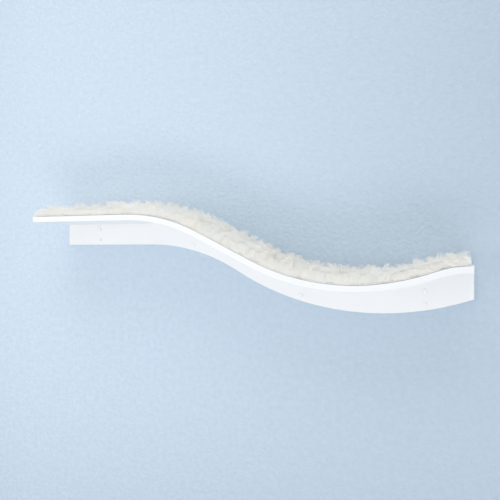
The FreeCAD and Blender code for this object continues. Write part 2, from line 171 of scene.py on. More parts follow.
class GroupDraft:
    """A shader group while its nodes are being laid out."""

    def __init__(self, name: str, inputs: dict[str, Any], outputs: tuple[str, ...]) -> None:
        """Makes the group and its named sockets.

        Args:
            name: The group's name.
            inputs: Default value of each input; four numbers make a colour.
            outputs: Names of the outputs; Color is a colour, and the others are values.
        """
        self.tree = bpy.data.node_groups.new(name, "ShaderNodeTree")
        for label, default in inputs.items():
            self.socket(label, "INPUT", isinstance(default, tuple)).default_value = default
        for label in outputs:
            self.socket(label, "OUTPUT", label == "Color")
        self.nodes = Nodes(self.tree)
        self.given = self.tree.nodes.new("NodeGroupInput").outputs
        self.result = self.tree.nodes.new("NodeGroupOutput").inputs

    def socket(self, label: str, side: str, coloured: bool) -> bpy.types.NodeTreeInterfaceSocket:
        """Adds a named socket to the group."""
        kind = "NodeSocketColor" if coloured else "NodeSocketFloat"
        return self.tree.interface.new_socket(name=label, in_out=side, socket_type=kind)

    def put(self, label: str, socket: Socket) -> None:
        """Links a socket to one of the group's outputs."""
        self.tree.links.new(socket, self.result[label])


class Effects:
    """Shader groups that several finishes share, each built once."""

    def __init__(self) -> None:
        """Builds every group."""
        self.mottle = self._mottle()
        self.edge_wear_and_shade = self._edge_wear_and_shade()
        self.peel = self._peel()
        self.weave = self._weave()
        self.fibre = self._fibre()

    @staticmethod
    def _mottle() -> Group:
        """Uneven tone of a large surface, from two sizes of noise.

        Returns:
            A group with a Color and a Mask.
        """
        inputs = {"Color": WHITE, "Tint": WHITE, "Scale": 8.0, "Amount": 0.2}
        draft = GroupDraft("uneven_tone", inputs, ("Color", "Mask"))
        nodes, given = draft.nodes, draft.given
        broad = nodes.noise(given["Scale"], 2.0)
        fine = nodes.noise(nodes.maths("MULTIPLY", given["Scale"], 9.0), 4.0)
        mask = nodes.spread(nodes.plus(nodes.maths("MULTIPLY", broad, 0.65), fine, 0.35), 0.34, 0.66)
        draft.put("Mask", mask)
        amount = nodes.maths("MULTIPLY", mask, given["Amount"])
        draft.put("Color", nodes.blend(amount, given["Color"], given["Tint"]))
        return draft.tree

    @staticmethod
    def _edge_wear_and_shade() -> Group:
        """Edges, found where a rounded normal leaves the true one: scuffing, and on the caps also painted
        shade.

        Returns:
            A group with a Mask.
        """
        draft = GroupDraft("rubbed_and_shaded_edges", {"Radius": 0.002, "Scale": 120.0}, ("Mask",))
        nodes, given = draft.nodes, draft.given
        rounded = nodes.add("Bevel", {"Radius": given["Radius"]}, samples=4).outputs["Normal"]
        true = nodes.add("NewGeometry").outputs["Normal"]
        dot = nodes.add("VectorMath", {0: rounded, 1: true}, operation="DOT_PRODUCT").outputs["Value"]
        patchy = nodes.spread(nodes.noise(given["Scale"], 4.0), 0.42, 0.62)
        draft.put("Mask", nodes.maths("MULTIPLY", nodes.spread(dot, 1.0, 0.86), patchy))
        return draft.tree

    @staticmethod
    def _peel() -> Group:
        """Slightly pebbled skin of sprayed lacquer or moulded plastic.

        Returns:
            A group with a Height.
        """
        draft = GroupDraft("pebbled_skin", {"Scale": 700.0, "Wave": 25.0}, ("Height",))
        nodes, given = draft.nodes, draft.given
        pebble = nodes.noise(given["Scale"], 1.0)
        draft.put("Height", nodes.plus(pebble, nodes.noise(given["Wave"], 1.0), 0.8))
        return draft.tree

    @staticmethod
    def _weave() -> Group:
        """Plain weave: warp along Y and weft along X, over and under in turn.

        Returns:
            A group with a Height and a Mask.
        """
        draft = GroupDraft("plain_weave", {"Threads": 1500.0}, ("Height", "Mask"))
        nodes, given = draft.nodes, draft.given
        parts = nodes.parts(nodes.place())
        turns = nodes.maths("MULTIPLY", given["Threads"], math.pi)
        warp = nodes.maths("SINE", nodes.maths("MULTIPLY", parts["X"], turns))
        weft = nodes.maths("SINE", nodes.maths("MULTIPLY", parts["Y"], turns))
        height = nodes.spread(nodes.maths("MULTIPLY", warp, weft), -1.0, 1.0)
        draft.put("Height", nodes.plus(height, nodes.noise(2600.0, 2.0), 0.4))
        draft.put("Mask", height)
        return draft.tree

    @staticmethod
    def _fibre() -> Group:
        """Colour of pile from its root to its tip, with warmer and cooler locks.

        Returns:
            A group with a Color.
        """
        inputs = {"Tone": 0.5, "Along": 0.5, "Root": WHITE, "Tip": WHITE, "Warm": WHITE, "Cool": WHITE}
        draft = GroupDraft("pile_colour", inputs, ("Color",))
        nodes, given = draft.nodes, draft.given
        pile = nodes.blend(nodes.spread(given["Along"], 0.0, 0.75), given["Root"], given["Tip"])
        warm = nodes.spread(given["Tone"], 0.55, 1.0, 0.0, 0.75)
        cool = nodes.spread(given["Tone"], 0.45, 0.0, 0.0, 0.75)
        draft.put("Color", nodes.blend(cool, nodes.blend(warm, pile, given["Warm"]), given["Cool"]))
        return draft.tree


class Finish:
    """A material under construction around one Principled shader."""

    def __init__(self, name: str) -> None:
        """Makes the material with its shader and output.

        Args:
            name: The material's name.
        """
        self.material = bpy.data.materials.new(name)
        self.material.use_nodes = True
        self.nodes = Nodes(self.material.node_tree)
        self.shader = self.material.node_tree.nodes["Principled BSDF"]

    def set(self, **values: float) -> None:
        """Sets plain values of the shader, named with underscores for spaces."""
        for name, given in values.items():
            self.shader.inputs[name.replace("_", " ")].default_value = given

    def drive(self, name: str, socket: Socket) -> None:
        """Links a socket to an input of the shader."""
        self.material.node_tree.links.new(socket, self.shader.inputs[name])

    def bump(self, height: Socket, strength: float, distance: float) -> None:
        """Raises the surface by a height of 0 to 1, at a share of a depth in metres."""
        node = self.nodes.add("Bump", {"Strength": strength, "Distance": distance, "Height": height})
        self.drive("Normal", node.outputs["Normal"])

    def hide_back(self, near: float) -> None:
        """Makes the surface clear from behind, and to light that a close neighbour sends or takes.

        Args:
            near: Distance in metres under which a neighbour is close.
        """
        nodes = self.nodes
        back = nodes.add("NewGeometry").outputs["Backfacing"]
        close = nodes.maths("LESS_THAN", nodes.add("LightPath").outputs["Ray Length"], near)
        clear = nodes.add("BsdfTransparent").outputs["BSDF"]
        gone = nodes.maths("MAXIMUM", back, close)
        shown = nodes.add("MixShader", {0: gone, 1: self.shader.outputs["BSDF"], 2: clear})
        tree = self.material.node_tree
        tree.links.new(shown.outputs["Shader"], tree.nodes["Material Output"].inputs["Surface"])


@dataclass(frozen=True)
class HardFinish:
    """Lacquer, plastic or steel with an uneven tone, scuffed edges and a fine relief; lacquer as it stands.
    On the caps the edge colour is darker than scuffing alone would make it: painted shade for the shadow
    beside each cap.
    """

    name: str
    colour: Colour
    tint: Colour
    edge_colour_wear_and_shade: Colour
    roughness: Pair
    skin: Skin = Skin.SPRAYED
    tone_scale: float = 9.0
    tone_amount: float = 0.5
    wear_radius: float = 0.0016
    wear_scale: float = 160.0
    wear_and_shade_share: float = 0.35
    wear_roughness: float = 0.15
    relief_scale: float = 650.0
    relief_wave: float = 22.0
    relief_share: float = 0.35
    relief_depth: float = 0.00012
    grain: float = 0.0
    grain_scale: float = 420.0
    grain_stretch: Point = (0.08, 1.0, 1.0)
    coat: float = 0.12
    coat_roughness: float = 0.25
    specular: float = 0.45
    metallic: float = 0.0

    def make(self, effects: Effects) -> Material:
        """Builds the material from the shared shader groups.

        Args:
            effects: The groups.

        Returns:
            The new material.
        """
        finish = Finish(self.name)
        nodes = finish.nodes
        colours = {"Color": self.colour, "Tint": self.tint}
        tone = nodes.group(effects.mottle, {**colours, "Scale": self.tone_scale, "Amount": self.tone_amount})
        edge = nodes.group(effects.edge_wear_and_shade, {"Radius": self.wear_radius, "Scale": self.wear_scale})["Mask"]
        # Edges blend towards the edge colour: scuffing, and on the caps also painted shade, a darker rim that
        # stands in for the shadow beside each cap.
        edge_share_wear_and_shade = nodes.maths("MULTIPLY", edge, self.wear_and_shade_share)
        finish.drive("Base Color", nodes.blend(edge_share_wear_and_shade, tone["Color"], self.edge_colour_wear_and_shade))
        satin = nodes.spread(tone["Mask"], 0.0, 1.0, *self.roughness)
        finish.drive("Roughness", nodes.plus(satin, edge, self.wear_roughness))
        finish.bump(self.relief(nodes, effects), self.relief_share, self.relief_depth)
        finish.set(Coat_Weight=self.coat, Coat_Roughness=self.coat_roughness)
        finish.set(Specular_IOR_Level=self.specular, Metallic=self.metallic)
        return finish.material

    def relief(self, nodes: Nodes, effects: Effects) -> Socket:
        """Height of the fine relief: turning marks, a pebbled skin, or one with the board's grain in it.

        Args:
            nodes: The material's nodes.
            effects: The shared shader groups.

        Returns:
            The height.
        """
        if self.skin is Skin.TURNED:
            return nodes.noise(self.relief_scale, 2.0)
        pebbled = nodes.group(effects.peel, {"Scale": self.relief_scale, "Wave": self.relief_wave})["Height"]
        if self.skin is Skin.MOULDED:
            return pebbled
        stretched = nodes.add("Mapping", {"Vector": nodes.place(), "Scale": self.grain_stretch})
        grain = nodes.noise(self.grain_scale, 3.0, stretched.outputs["Vector"])
        return nodes.plus(pebbled, grain, self.grain)


@dataclass(frozen=True)
class ClothFinish:
    """Plain woven cloth of the tapes and of the pad's backing."""

    name: str
    colour: Colour
    shade: Colour
    threads: float
    depth: float

    def make(self, effects: Effects) -> Material:
        """Builds the material from the shared shader groups.

        Args:
            effects: The groups.

        Returns:
            The new material.
        """
        finish = Finish(self.name)
        nodes = finish.nodes
        cloth = nodes.group(effects.weave, {"Threads": self.threads})
        inputs = {"Color": self.colour, "Tint": self.shade, "Scale": 30.0, "Amount": 0.35}
        tone = nodes.group(effects.mottle, inputs)["Color"]
        # Gaps between threads blend towards the shade colour: painted shade between the threads.
        hollow_painted_shade = nodes.spread(cloth["Mask"], 0.55, 0.0, 0.0, 0.5)
        finish.drive("Base Color", nodes.blend(hollow_painted_shade, tone, self.shade))
        finish.drive("Roughness", nodes.spread(cloth["Mask"], 0.0, 1.0, 0.95, 0.8))
        finish.bump(cloth["Height"], 0.7, self.depth)
        finish.set(Sheen_Weight=0.15, Sheen_Roughness=0.5, Specular_IOR_Level=0.2)
        return finish.material


@dataclass(frozen=True)
class PileFinish:
    """Long white and cream pile, paler at its tips."""

    name: str
    by_strand: bool
    root: Colour
    tip: Colour
    warm: Colour
    cool: Colour

    def make(self, effects: Effects) -> Material:
        """Builds the material, with tone and place along the pile from the strands' own map or from noise.

        Args:
            effects: The shared shader groups.

        Returns:
            The new material.
        """
        finish = Finish(self.name)
        nodes = finish.nodes
        if self.by_strand:
            parts = nodes.parts(nodes.add("UVMap", uv_map=BAKE_MAP).outputs["UV"])
            tone, along = parts["X"], parts["Y"]
            rough = nodes.spread(along, 0.0, 1.0, 0.85, 0.6)
        else:
            tone = nodes.noise(26.0, 4.0)
            along = nodes.spread(nodes.noise(700.0, 3.0), 0.3, 0.7, 0.0, 0.5)
            rough = nodes.spread(along, 0.0, 0.5, 0.95, 0.85)
            finish.bump(nodes.noise(1100.0, 3.0), 0.8, 0.0006)
        colours = {"Root": self.root, "Tip": self.tip, "Warm": self.warm, "Cool": self.cool}
        pile = nodes.group(effects.fibre, {"Tone": tone, "Along": along, **colours})
        finish.drive("Base Color", pile["Color"])
        finish.drive("Roughness", rough)
        finish.set(Sheen_Weight=0.5, Sheen_Roughness=0.5, Specular_IOR_Level=0.3)
        return finish.material


@dataclass(frozen=True)
class BackdropFinish:
    """Pale painted stage surface, whose colour may ramp from left to right: painted light falloff, lighter on
    the left.
    """

    name: str
    left: Colour
    right: Colour
    one_sided: bool
    shade: Colour = (0.35, 0.42, 0.5, 1.0)
    ends: Pair = (-0.85, 0.75)
    near: float = 0.006

    def make(self, effects: Effects) -> Material:
        """Builds the material from the shared shader groups.

        Args:
            effects: The groups.

        Returns:
            The new material.
        """
        finish = Finish(self.name)
        nodes = finish.nodes
        side = nodes.parts(nodes.place())["X"]
        # The colour ramps from left to right between the two ends: painted light falloff, lighter towards the
        # window light on the left.
        painted_light_ramp = nodes.blend(nodes.spread(side, *self.ends), self.left, self.right)
        tint = nodes.blend(0.16, painted_light_ramp, self.shade)
        tone = nodes.group(effects.mottle, {"Color": painted_light_ramp, "Tint": tint, "Scale": 60.0, "Amount": 1.0})
        finish.drive("Base Color", tone["Color"])
        finish.bump(nodes.noise(95.0, 3.0), 0.6, 0.006)
        finish.set(Roughness=0.9, Specular_IOR_Level=0.15)
        if self.one_sided:
            finish.hide_back(self.near)
        return finish.material


class Finishes:
    """Every material of the shelf, and the effects that they share."""

    def __init__(self) -> None:
        """Builds the effects and the materials."""
        self.effects = Effects()
        # The board's lacquer is a little darker and the panel's a little lighter than the one white that both
        # have: painted shade on the brightly lit board, painted light on the panel in the board's shade.
        self.board = HardFinish(
            "board_lacquer_painted_shade",
            colour=(0.916, 0.923, 0.932, 1.0), tint=(0.886, 0.895, 0.907, 1.0), edge_colour_wear_and_shade=(0.80, 0.79, 0.76, 1.0),
            roughness=(0.31, 0.42), grain=0.5,
        ).make(self.effects)
        self.panel = HardFinish(
            "panel_lacquer_painted_light",
            colour=(0.95, 0.946, 0.943, 1.0), tint=(0.924, 0.921, 0.92, 1.0), edge_colour_wear_and_shade=(0.79, 0.78, 0.76, 1.0),
            roughness=(0.37, 0.48), grain=0.8,
        ).make(self.effects)
        # The cap's darker edge colour is painted shade as well as scuffing: a dark rim for the shadow
        # crescent beside each cap.
        self.cap = HardFinish(
            "moulded_cap",
            colour=(0.96, 0.961, 0.96, 1.0), tint=(0.92, 0.922, 0.925, 1.0), edge_colour_wear_and_shade=(0.66, 0.665, 0.67, 1.0),
            roughness=(0.24, 0.36), skin=Skin.MOULDED, tone_scale=120.0,
            wear_radius=0.0006, wear_scale=900.0, wear_and_shade_share=0.3, wear_roughness=0.0,
            relief_scale=2200.0, relief_wave=180.0, relief_share=0.3, relief_depth=0.00004,
            coat=0.2, coat_roughness=0.15, specular=0.5,
        ).make(self.effects)
        self.steel = HardFinish(
            "plated_steel",
            colour=(0.62, 0.62, 0.60, 1.0), tint=(0.50, 0.49, 0.44, 1.0), edge_colour_wear_and_shade=(0.80, 0.80, 0.79, 1.0),
            roughness=(0.26, 0.46), skin=Skin.TURNED, tone_scale=90.0, tone_amount=0.7,
            wear_radius=0.0004, wear_scale=1500.0, wear_and_shade_share=0.6, wear_roughness=0.0,
            relief_scale=5200.0, relief_share=0.25, relief_depth=0.00003,
            coat=0.0, specular=0.5, metallic=1.0,
        ).make(self.effects)
        self.hook = ClothFinish(
            "hook_tape", (0.78, 0.78, 0.76, 1.0), (0.58, 0.58, 0.56, 1.0), threads=1400.0, depth=0.00025
        ).make(self.effects)
        self.loop = ClothFinish(
            "loop_tape", (0.80, 0.79, 0.76, 1.0), (0.62, 0.61, 0.58, 1.0), threads=1400.0, depth=0.00025
        ).make(self.effects)
        self.backing = ClothFinish(
            "backing_cloth", (0.66, 0.63, 0.57, 1.0), (0.47, 0.44, 0.39, 1.0), threads=900.0, depth=0.0004
        ).make(self.effects)
        self.thread = ClothFinish(
            "hem_thread", (0.82, 0.80, 0.75, 1.0), (0.63, 0.60, 0.55, 1.0), threads=3000.0, depth=0.0001
        ).make(self.effects)
        self.pile = PileFinish(
            "fur_strands", by_strand=True, root=(0.98, 0.966, 0.935, 1.0), tip=(0.99, 0.985, 0.965, 1.0),
            warm=(0.985, 0.955, 0.895, 1.0), cool=(0.97, 0.973, 0.96, 1.0),
        ).make(self.effects)
        self.underfur = PileFinish(
            "fur_base", by_strand=False, root=(0.94, 0.925, 0.89, 1.0), tip=(0.97, 0.96, 0.935, 1.0),
            warm=(0.95, 0.92, 0.86, 1.0), cool=(0.94, 0.945, 0.93, 1.0),
        ).make(self.effects)


def show(name: str, data: bpy.types.ID) -> Piece:
    """Puts a mesh, lamp or camera into the scene.

    Args:
        name: The object's name.
        data: What the object shows.

    Returns:
        The new object.
    """
    shown = bpy.data.objects.new(name, data)
    bpy.context.scene.collection.objects.link(shown)
    return shown


def mesh_piece(name: str, points: Array, faces: Array, material: Material, smooth: bool = True) -> Piece:
    """Makes an object from points and faces.

    Args:
        name: The object's name.
        points: Points in metres, one row each.
        faces: Corners of each face, one row each.
        material: The object's material.
        smooth: Whether the faces are shaded smooth.

    Returns:
        The new object, in the scene.
    """
    mesh = bpy.data.meshes.new(name)
    corners = np.asarray(faces, dtype=np.int32)
    mesh.vertices.add(len(points))
    mesh.vertices.foreach_set("co", np.asarray(points, dtype=np.float32).ravel())
    mesh.loops.add(corners.size)
    mesh.loops.foreach_set("vertex_index", corners.ravel())
    mesh.polygons.add(len(corners))
    mesh.polygons.foreach_set("loop_start", np.arange(0, corners.size, corners.shape[1], dtype=np.int32))
    mesh.polygons.foreach_set("use_smooth", np.full(len(corners), smooth))
    mesh.materials.append(material)
    mesh.update(calc_edges=True)
    mesh.validate()
    return show(name, mesh)


def declare(piece: Piece, body: str, node: str | None = None) -> Piece:
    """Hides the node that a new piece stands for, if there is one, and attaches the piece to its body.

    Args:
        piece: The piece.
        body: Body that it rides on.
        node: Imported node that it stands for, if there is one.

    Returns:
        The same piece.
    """
    if node:
        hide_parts(node)
    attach(piece, body)
    return piece


def weld(piece: Piece) -> None:
    """Joins points that lie together and turns the faces outward.

    Args:
        piece: The object to mend.
    """
    shape = bmesh.new()
    shape.from_mesh(piece.data)
    bmesh.ops.remove_doubles(shape, verts=shape.verts, dist=1e-7)
    bmesh.ops.recalc_face_normals(shape, faces=shape.faces)
    shape.to_mesh(piece.data)
    shape.free()


def corner_points(mesh: bpy.types.Mesh) -> Array:
    """Points of a mesh, one row each."""
    return np.array([vert.co for vert in mesh.vertices])


def grid_faces(rows: int, columns: int, closed: bool = False) -> Array:
    """Quads of a grid of points.

    Args:
        rows: Number of rows.
        columns: Number of points in a row.
        closed: Whether each row joins its own start.

    Returns:
        The corners of each quad.
    """
    numbers = np.arange(rows * columns).reshape(rows, columns)
    following = np.roll(numbers, -1, axis=1)
    quads = np.stack([numbers[:-1], following[:-1], following[1:], numbers[1:]], -1)
    return (quads if closed else quads[:, :-1]).reshape(-1, 4)


def unit(vectors: Array) -> Array:
    """Vectors at length one."""
    return vectors / np.maximum(np.linalg.norm(vectors, axis=-1, keepdims=True), 1e-9)


def circle(sides: int) -> Array:
    """Angles of the corners of a ring."""
    return 2 * np.pi * np.arange(sides) / sides


def tubes(paths: Array, radii: Any, reference: Any) -> tuple[Array, Array]:
    """Three-sided tubes along many paths, each closed at its foot and drawn to a point at its end.

    Args:
        paths: Points of the paths, as path, point and axis.
        radii: Radius at each point but the last, for all paths or one row for each.
        reference: A vector that sets how the sides are turned, for all paths or one row for each.

    Returns:
        The points, and the triangles' corners.
    """
    count, steps = paths.shape[:2]
    radii = np.broadcast_to(radii, (count, steps - 1))
    heading = unit(np.gradient(paths, axis=1))
    side = unit(np.cross(heading, np.broadcast_to(reference, (count, 3))[:, None, :]))
    other = np.cross(heading, side)
    turns = circle(3)
    ring = side[:, :-1, None, :] * np.cos(turns)[:, None] + other[:, :-1, None, :] * np.sin(turns)[:, None]
    rings = paths[:, :-1, None, :] + ring * radii[:, :, None, None]
    points = np.concatenate([rings.reshape(count, -1, 3), paths[:, -1:, :]], axis=1)
    corners = [(0, 2, 1)]
    for step in range(steps - 2):
        for edge in range(3):
            low, high = 3 * step + edge, 3 * step + (edge + 1) % 3
            corners += [(low, high, high + 3), (low, high + 3, low + 3)]
    last = 3 * (steps - 2)
    corners += [(last + edge, last + (edge + 1) % 3, last + 3) for edge in range(3)]
    faces = np.asarray(corners)[None] + (np.arange(count) * points.shape[1])[:, None, None]
    return points.reshape(-1, 3), faces.reshape(-1, 3)


def soft_noise(points: Array, size: float, random: Random) -> Array:
    """Smooth noise over a surface.

    Args:
        points: Two coordinates for each point, in metres.
        size: Rough size of the noise's patches in metres.
        random: Source of the noise's waves.

    Returns:
        Values mostly between -1 and 1.
    """
    total = np.zeros(len(points))
    waves = 7
    for _ in range(waves):
        angle, phase = random.uniform(0, 2 * np.pi, 2)
        turns = 2 * np.pi / size * random.uniform(0.6, 1.7)
        total += np.sin((points[:, 0] * np.cos(angle) + points[:, 1] * np.sin(angle)) * turns + phase)
    return total / math.sqrt(waves)


@dataclass(frozen=True)
class BoardRun:
    """The S line of the board's top, as straight and round stretches from its left end."""

    length: float = 1.3208
    level_height: float = 0.1475
    crest_radius: float = 0.530
    slope_angle: float = 26.25
    slope_run: float = 0.180
    trough_radius: float = 0.620
    tail_angle: float = 20.5
    ease_radius: float = 0.215
    tail_run: float = 0.010

    def stretches(self) -> list[Pair]:
        """Length and bend of each stretch.

        Returns:
            Metres, and turns of the heading per metre.
        """
        slope, tail = math.radians(self.slope_angle), math.radians(self.tail_angle)
        level = self.length - self.tail_run - (self.crest_radius + self.trough_radius) * math.sin(slope)
        level -= self.slope_run * math.cos(slope)
        level -= (self.trough_radius + self.ease_radius) * math.sin(tail)
        return [
            (level, 0.0),
            (self.crest_radius * slope, -1 / self.crest_radius),
            (self.slope_run, 0.0),
            (self.trough_radius * (slope + tail), 1 / self.trough_radius),
            (self.ease_radius * tail, -1 / self.ease_radius),
            (self.tail_run, 0.0),
        ]

    def span(self) -> float:
        """Length of the whole line."""
        return sum(length for length, _ in self.stretches())

    def at(self, distance: Array) -> tuple[Array, Array, Array]:
        """Points of the line.

        Args:
            distance: Metres along the line from its left end.

        Returns:
            X, Z and heading at each distance.
        """
        x, z, heading = (np.zeros(distance.shape) for _ in range(3))
        start_x, start_z, turned, passed = -self.length / 2, self.level_height, 0.0, 0.0
        for number, (length, bend) in enumerate(self.stretches()):
            here = distance >= passed if number else np.full(distance.shape, True)
            along = np.append(distance[here] - passed, length)
            angle = turned + bend * along
            if bend:
                step_x = (np.sin(angle) - math.sin(turned)) / bend
                step_z = (math.cos(turned) - np.cos(angle)) / bend
            else:
                step_x, step_z = along * math.cos(turned), along * math.sin(turned)
            x[here], z[here], heading[here] = start_x + step_x[:-1], start_z + step_z[:-1], angle[:-1]
            start_x, start_z, turned = start_x + step_x[-1], start_z + step_z[-1], angle[-1]
            passed += length
        return x, z, heading

    def heading_at(self, distance: float) -> float:
        """Heading of the line at one distance along it."""
        return float(self.at(np.array([distance]))[2][0])

    def distance_at(self, x: float) -> float:
        """Metres along the line to a place on the X axis."""
        steps = np.linspace(0.0, self.span(), 4001)
        return float(np.interp(x, self.at(steps)[0], steps))

    def place(self, distance: Any, across: Any, lift: Any) -> Array:
        """Points over the board.

        Args:
            distance: Metres along the line from its left end.
            across: Y of each point.
            lift: Metres above the board's top, square to it.

        Returns:
            The points, with their axes last.
        """
        distance, across, lift = np.broadcast_arrays(distance, across, lift)
        x, z, heading = self.at(distance)
        return np.stack([x - np.sin(heading) * lift, across, z + np.cos(heading) * lift], axis=-1)


@dataclass
class ShelfFrame:
    """The board and the wall panel, whose solids stay and take a lacquer."""

    nodes: dict[str, Piece]
    finishes: Finishes

    def dress(self) -> list[Piece]:
        """Gives both pieces their finish.

        Returns:
            The board and the panel.
        """
        coats = {"shelf_board": self.finishes.board, "wall_panel": self.finishes.panel}
        for name, material in coats.items():
            self.nodes[name].data.materials.clear()
            self.nodes[name].data.materials.append(material)
        return [self.nodes[name] for name in coats]


@dataclass
class ScrewShape:
    """One kind of screw, along its own axis from its head's face."""

    head_radius: float
    head_height: float
    conical: bool
    shank_radius: float
    shank_end: float
    thread_radius: float
    length: float
    pitch: float
    point: float
    recess: float
    head_edge: float = 0.0003
    core_share: float = 0.68
    rings_per_turn: int = 6
    blunt: float = 0.02
    arm_width: float = 0.28
    arm_taper: float = 0.8
    floor_share: float = 0.55
    recess_depth: float = 0.7
    sides: int = 20

    def profile(self) -> list[tuple[float, float, bool]]:
        """Places along the screw.

        Returns:
            Distance from the head's face, radius or, on the thread, share of it, and True on the thread.
        """
        wide, edge, height = self.head_radius, self.head_edge, self.head_height
        rows = [(0.0, wide - edge, False), (edge, wide, False)]
        if not self.conical:
            rows += [(height - edge, wide, False), (height, wide - edge, False)]
        rows += [(height, self.shank_radius, False), (self.shank_end, self.shank_radius, False)]
        step = self.pitch / self.rings_per_turn
        for number in range(1, int((self.length - self.shank_end) / step) + 1):
            place = self.shank_end + number * step
            rows.append((place, min(1.0, (self.length - place) / self.point + self.blunt), True))
        return rows

    def points(self) -> Array:
        """Skin of the screw, ring by ring.

        Returns:
            Points as ring, side, and two radial parts and a depth.
        """
        core = self.thread_radius * self.core_share
        rings = []
        angles = circle(self.sides)
        for place, size, threaded in self.profile():
            radius = np.full(self.sides, size)
            if threaded:
                phase = (place / self.pitch - angles / (2 * np.pi)) % 1.0
                ridge = np.clip(1 - np.abs(phase - 0.5) * 4, 0, 1)
                radius = (core + (self.thread_radius - core) * ridge) * size
            ring = (radius * np.cos(angles), radius * np.sin(angles), np.full(self.sides, place))
            rings.append(np.stack(ring, -1))
        return np.stack(rings)

    def mesh(self, name: str) -> bpy.types.Mesh:
        """Mesh of the screw along Z, its head's face at zero and its cross recess cut in.

        Args:
            name: The mesh's name.

        Returns:
            The new mesh.
        """
        rings = self.points()
        shape = bmesh.new()
        verts = [shape.verts.new(point) for point in rings.reshape(-1, 3)]
        for face in grid_faces(len(rings), self.sides, closed=True):
            shape.faces.new([verts[corner] for corner in reversed(face)])
        shape.faces.new(verts[-self.sides:])
        wide, narrow = self.recess, self.recess * self.arm_width
        end = narrow * self.arm_taper
        arm = (complex(narrow, -narrow), complex(wide, -end), complex(wide, end))
        outline = [corner * 1j**turn for turn in range(4) for corner in arm]
        mouth = [shape.verts.new((corner.real, corner.imag, 0.0)) for corner in outline]
        depth, share = self.recess * self.recess_depth, self.floor_share
        floor = [shape.verts.new((corner.real * share, corner.imag * share, depth)) for corner in outline]
        edges = [shape.edges.get((verts[side], verts[(side + 1) % self.sides])) for side in range(self.sides)]
        for number, vert in enumerate(mouth):
            following = (number + 1) % len(mouth)
            edges.append(shape.edges.new((vert, mouth[following])))
            shape.faces.new((vert, mouth[following], floor[following], floor[number]))
        shape.faces.new(floor)
        bmesh.ops.triangle_fill(shape, edges=edges, use_beauty=True)
        bmesh.ops.recalc_face_normals(shape, faces=shape.faces)
        mesh = bpy.data.meshes.new(name)
        shape.to_mesh(mesh)
        shape.free()
        return mesh


@dataclass
class Screws:
    """One kind of screw at all its places, as one piece that stands for the node."""

    node: str
    shape: ScrewShape
    places: list[tuple[Vector, Vector]]
    material: Material

    def build(self) -> Piece:
        """Copies the screw to each place and joins the copies.

        Returns:
            The piece.
        """
        single = self.shape.mesh(f"{self.node}_one")
        joined = bmesh.new()
        for origin, axis in self.places:
            copy = single.copy()
            turn = axis.to_track_quat("Z", "Y").to_matrix().to_4x4()
            turn.translation = origin
            copy.transform(turn)
            joined.from_mesh(copy)
            bpy.data.meshes.remove(copy)
        mesh = bpy.data.meshes.new(f"{self.node}_threaded")
        joined.to_mesh(mesh)
        joined.free()
        bpy.data.meshes.remove(single)
        mesh.materials.append(self.material)
        return declare(show(mesh.name, mesh), Body.SHELF.value, self.node)


def solid_boxes(node: Piece) -> list[tuple[Array, Array]]:
    """Boxes of the loose parts of a node.

    Args:
        node: A node of several solids.

    Returns:
        Lowest and highest corner of each part, from left to right.
    """
    shape = bmesh.new()
    shape.from_mesh(node.data)
    bmesh.ops.remove_doubles(shape, verts=shape.verts, dist=1e-6)
    left = set(shape.verts)
    boxes = []
    while left:
        part, edge = [], [left.pop()]
        while edge:
            vert = edge.pop()
            part.append(vert.co[:])
            near = left.intersection(link.other_vert(vert) for link in vert.link_edges)
            left -= near
            edge += near
        boxes.append((np.min(part, axis=0), np.max(part, axis=0)))
    shape.free()
    return sorted(boxes, key=lambda box: (round(float(box[0][0]), 4), float(box[0][2])))


def wall_screws(nodes: dict[str, Piece], finishes: Finishes) -> Screws:
    """Wide-headed screws that hold the panel on the wall.

    Args:
        nodes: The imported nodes.
        finishes: The materials.

    Returns:
        The screws at the node's places.
    """
    shape = ScrewShape(
        head_radius=0.0055, head_height=0.0024, conical=False, shank_radius=0.0020, shank_end=0.0204,
        thread_radius=0.0025, length=0.0654, pitch=0.0022, point=0.006, recess=0.0021,
    )
    places = []
    for low, high in solid_boxes(nodes["wall_screws"]):
        centre = (low + high) / 2
        places.append((Vector((centre[0], low[1], centre[2])), Vector((0.0, 1.0, 0.0))))
    return Screws("wall_screws", shape, places, finishes.steel)


def board_screws(run: BoardRun, nodes: dict[str, Piece], finishes: Finishes) -> Screws:
    """Countersunk screws from the board's top into the panel.

    Args:
        run: Line of the board's top.
        nodes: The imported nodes.
        finishes: The materials.

    Returns:
        The screws at the node's places.
    """
    shape = ScrewShape(
        head_radius=0.0040, head_height=0.0023, conical=True, shank_radius=0.0015, shank_end=0.018,
        thread_radius=0.0020, length=0.0495, pitch=0.0018, point=0.005, recess=0.0018,
    )
    head_depth, middle_depth, tries = 0.0005, 0.025, 6
    places = []
    for low, high in solid_boxes(nodes["board_screws"]):
        x, y, _ = (low + high) / 2
        seat = run.distance_at(x)
        for _ in range(tries):
            seat = run.distance_at(x - math.sin(run.heading_at(seat)) * middle_depth)
        heading = run.heading_at(seat)
        origin = run.place([seat], y, -head_depth)[0]
        places.append((Vector(origin), Vector((math.sin(heading), 0.0, -math.cos(heading)))))
    return Screws("board_screws", shape, places, finishes.steel)


